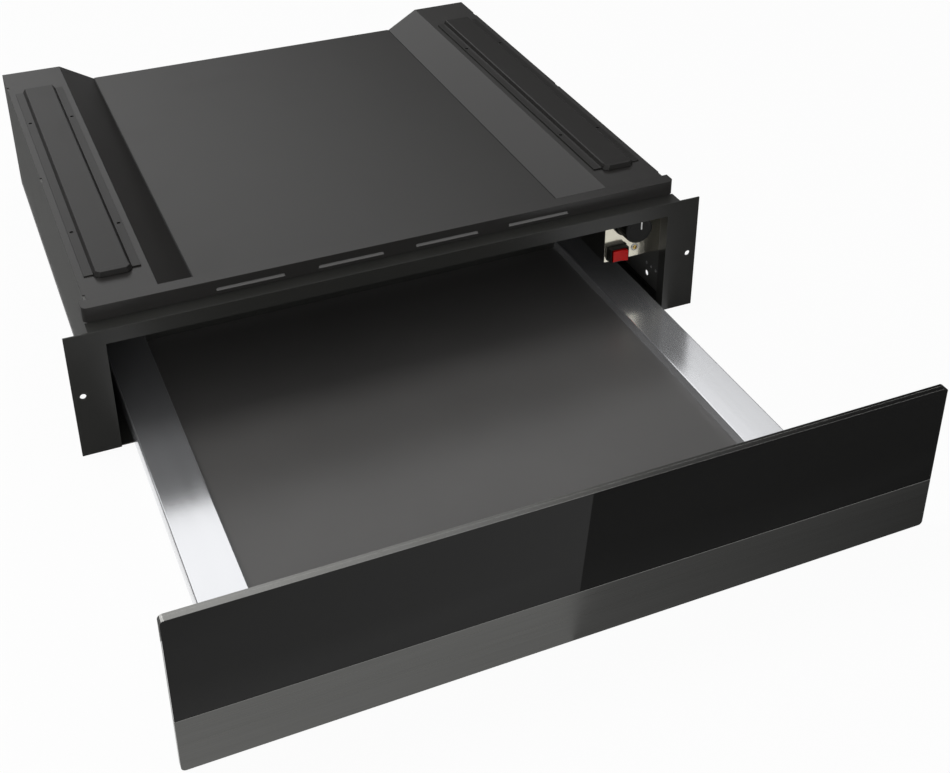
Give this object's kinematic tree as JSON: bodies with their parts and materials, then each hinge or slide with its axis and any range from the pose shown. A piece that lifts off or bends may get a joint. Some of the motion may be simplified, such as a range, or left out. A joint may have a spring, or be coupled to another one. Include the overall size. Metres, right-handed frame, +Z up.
{
  "type": "built-in warming drawer",
  "caption": "Built-in warming drawer, pulled open: black glass and steel front, low tray on ball runners, folded sheet cabinet with fan heater, thermostat knob and rocker switch.",
  "frame": {"origin": "centre of the cabinet underside, on the plane that it rests on", "axes": "+X to the right as seen from the front, +Y to the back, +Z up; the drawer front is toward -Y and pulls out along -Y"},
  "size_m": [0.598, 0.8886, 0.1402],
  "materials": {
    "cabinet_paint": "dark powder coat",
    "cover_paint": "satin grey powder coat",
    "stainless": "brushed stainless steel",
    "trim_steel": "brushed, lengthwise grain",
    "front_glass": "black backed glass, polished",
    "tray_coat": "semi-gloss dark coat",
    "zinc": "zinc plated steel",
    "ball_steel": "bright pressed steel and balls",
    "black_plastic": "moulded",
    "red_plastic": "translucent red, moulded",
    "motor_steel": "laminated stack",
    "element_sheath": "oxidised sheath",
    "pale_plastic": "moulded"
  },
  "bodies": {
    "cabinet": {"back_wall": "cabinet_paint", "base_pan": "cabinet_paint", "cable_gland": "black_plastic", "control_box": "cabinet_paint", "control_plate": "stainless", "fan_motor": "motor_steel", "fixing_frame": "cabinet_paint", "gland_nut": "black_plastic", "heater_baffle": "zinc", "heater_casing": "zinc", "heating_element": "element_sheath", "latch_housing": "black_plastic", "runner_outer_left": "zinc", "runner_outer_right": "zinc", "side_wall_left": "cabinet_paint", "side_wall_right": "cabinet_paint", "switch_body": "black_plastic", "terminal_block": "pale_plastic", "thermal_cutout": "pale_plastic", "thermostat_body": "pale_plastic", "thermostat_capillary": "zinc", "top_centre_panel": "cover_paint", "top_front_header": "cover_paint", "top_rail_left": "cabinet_paint", "top_rail_right": "cabinet_paint", "top_shoulder_left": "cover_paint", "top_shoulder_right": "cover_paint", "wiring_harness": "black_plastic"},
    "drawer": {"runner_inner_left": "zinc", "runner_inner_right": "zinc", "tray_side_left": "stainless", "tray_side_right": "stainless", "tray_floor": "tray_coat", "tray_front_rail": "stainless", "tray_back_rail": "stainless", "front_backing": "zinc", "front_glass": "front_glass", "front_trim_strip": "trim_steel", "front_bracket_left": "zinc", "front_bracket_right": "zinc"},
    "runners_middle": {"runner_middle_left": "zinc", "runner_middle_right": "zinc"},
    "cages_outer": {"ball_cage_outer_left": "ball_steel", "ball_cage_outer_right": "ball_steel"},
    "cages_inner": {"ball_cage_inner_left": "ball_steel", "ball_cage_inner_right": "ball_steel"},
    "knob": {"thermostat_knob": "black_plastic", "thermostat_spindle": "zinc"},
    "rocker": {"switch_rocker": "red_plastic"},
    "fan": {"fan_wheel": "zinc", "fan_shaft": "zinc"},
    "plunger": {"latch_plunger": "pale_plastic"}
  },
  "joints": [
    {"name": "drawer_slide", "type": "slide", "parent": "cabinet", "child": "drawer", "axis": [0, -1, 0], "range_m": [-0.35, 0.05]},
    {"name": "middle_slide", "type": "slide", "parent": "cabinet", "child": "runners_middle", "axis": [0, -1, 0], "range_m": [-0.175, 0.025]},
    {"name": "outer_cage_slide", "type": "slide", "parent": "cabinet", "child": "cages_outer", "axis": [0, -1, 0], "range_m": [-0.0875, 0.0125]},
    {"name": "inner_cage_slide", "type": "slide", "parent": "cabinet", "child": "cages_inner", "axis": [0, -1, 0], "range_m": [-0.2625, 0.0375]},
    {"name": "knob_turn", "type": "hinge", "parent": "cabinet", "child": "knob", "pos_m": [0.2364, -0.2375, 0.0973], "axis": [0, 1, 0], "range_deg": [0, 270]},
    {"name": "rocker_tilt", "type": "hinge", "parent": "cabinet", "child": "rocker", "pos_m": [0.2258, -0.2439, 0.0642], "axis": [0, 0, 1], "range_deg": [0, 14]},
    {"name": "fan_spin", "type": "hinge", "parent": "cabinet", "child": "fan", "pos_m": [0, 0.2, 0.0687], "axis": [0, 1, 0], "continuous": true},
    {"name": "latch_press", "type": "slide", "parent": "cabinet", "child": "plunger", "axis": [0, 1, 0], "range_m": [0, 0.004], "stiffness_N_per_m": 400}
  ],
  "couplings": [
    {"joint": "middle_slide", "follows": "drawer_slide", "ratio": 0.5},
    {"joint": "outer_cage_slide", "follows": "drawer_slide", "ratio": 0.25},
    {"joint": "inner_cage_slide", "follows": "drawer_slide", "ratio": 0.75}
  ]
}
